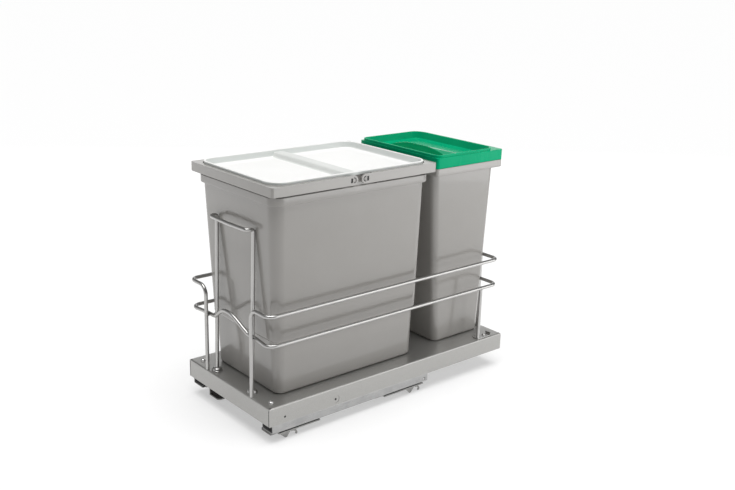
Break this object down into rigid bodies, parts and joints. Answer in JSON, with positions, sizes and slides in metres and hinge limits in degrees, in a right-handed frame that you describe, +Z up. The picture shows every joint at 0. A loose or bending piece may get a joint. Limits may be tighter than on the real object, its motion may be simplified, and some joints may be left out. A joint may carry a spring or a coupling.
{
  "type": "pull out waste bin unit",
  "caption": "Floor-mounted pull-out waste unit: a tray on telescopic slides with wire rails, a large bin with bails and a lid, and a small bin with a green lid.",
  "frame": {"origin": "middle of the unit's outline, on the cabinet floor that the brackets are screwed to", "axes": "-Y is the front, the way the tray is pulled out; +Z is up; +X is the right-hand side seen from the front"},
  "size_m": [0.23, 0.5, 0.3964],
  "materials": {
    "zinc": "zinc plated",
    "slide_steel": "zinc plated",
    "black_plastic": "matt",
    "tray_paint": "silver grey satin paint",
    "bright_wire": "bright nickel",
    "grey_plastic": "fine matt",
    "white_plastic": "satin",
    "green_plastic": "satin"
  },
  "bodies": {
    "cabinet_fixing": {"floor_bracket_front_left": "zinc", "floor_bracket_front_right": "zinc", "floor_bracket_rear_left": "zinc", "floor_bracket_rear_right": "zinc", "cabinet_member_left": "slide_steel", "cabinet_member_right": "slide_steel"},
    "inner_cages": {"inner_cage_left": "slide_steel", "inner_cage_right": "slide_steel"},
    "middle_members": {"middle_member_left": "slide_steel", "middle_member_right": "slide_steel"},
    "outer_cages": {"outer_cage_left": "slide_steel", "outer_cage_right": "slide_steel"},
    "carriage": {"drawer_member_left": "slide_steel", "drawer_member_right": "slide_steel", "front_cap_left": "black_plastic", "front_cap_right": "black_plastic", "base_tray": "tray_paint", "tray_screws": "zinc", "upper_rail": "bright_wire", "lower_rail": "bright_wire", "front_loop": "bright_wire", "loop_feet": "bright_wire", "rear_leg_left": "bright_wire", "rear_leg_right": "bright_wire", "rear_upright_left": "bright_wire", "rear_upright_right": "bright_wire"},
    "large_bin": {"large_bin": "grey_plastic"},
    "front_bail": {"front_bail": "grey_plastic"},
    "rear_bail": {"rear_bail": "grey_plastic"},
    "white_lid": {"white_lid": "white_plastic"},
    "small_bin": {"small_bin": "grey_plastic"},
    "green_lid": {"green_lid": "green_plastic"}
  },
  "joints": [
    {"name": "pull_out", "type": "slide", "parent": "cabinet_fixing", "child": "carriage", "axis": [0, -1, 0], "range_m": [0, 0.3]},
    {"name": "inner_cages_roll", "type": "slide", "parent": "cabinet_fixing", "child": "inner_cages", "axis": [0, -1, 0], "range_m": [0, 0.075]},
    {"name": "middle_members_slide", "type": "slide", "parent": "cabinet_fixing", "child": "middle_members", "axis": [0, -1, 0], "range_m": [0, 0.15]},
    {"name": "outer_cages_roll", "type": "slide", "parent": "cabinet_fixing", "child": "outer_cages", "axis": [0, -1, 0], "range_m": [0, 0.225]},
    {"name": "large_bin_lift", "type": "slide", "parent": "carriage", "child": "large_bin", "axis": [0, 0, 1], "range_m": [0, 0.38]},
    {"name": "front_bail_pivot", "type": "hinge", "parent": "large_bin", "child": "front_bail", "pos_m": [0, -0.0945, 0.3827], "axis": [-1, 0, 0], "range_deg": [0, 90]},
    {"name": "rear_bail_pivot", "type": "hinge", "parent": "large_bin", "child": "rear_bail", "pos_m": [0, -0.0725, 0.3827], "axis": [1, 0, 0], "range_deg": [0, 90]},
    {"name": "white_lid_lift", "type": "slide", "parent": "large_bin", "child": "white_lid", "axis": [0, 0, 1], "range_m": [0, 0.1]},
    {"name": "small_bin_lift", "type": "slide", "parent": "carriage", "child": "small_bin", "axis": [0, 0, 1], "range_m": [0, 0.38]},
    {"name": "green_lid_lift", "type": "slide", "parent": "small_bin", "child": "green_lid", "axis": [0, 0, 1], "range_m": [0, 0.12]}
  ],
  "couplings": [
    {"joint": "inner_cages_roll", "follows": "pull_out", "ratio": 0.25},
    {"joint": "middle_members_slide", "follows": "pull_out", "ratio": 0.5},
    {"joint": "outer_cages_roll", "follows": "pull_out", "ratio": 0.75}
  ]
}
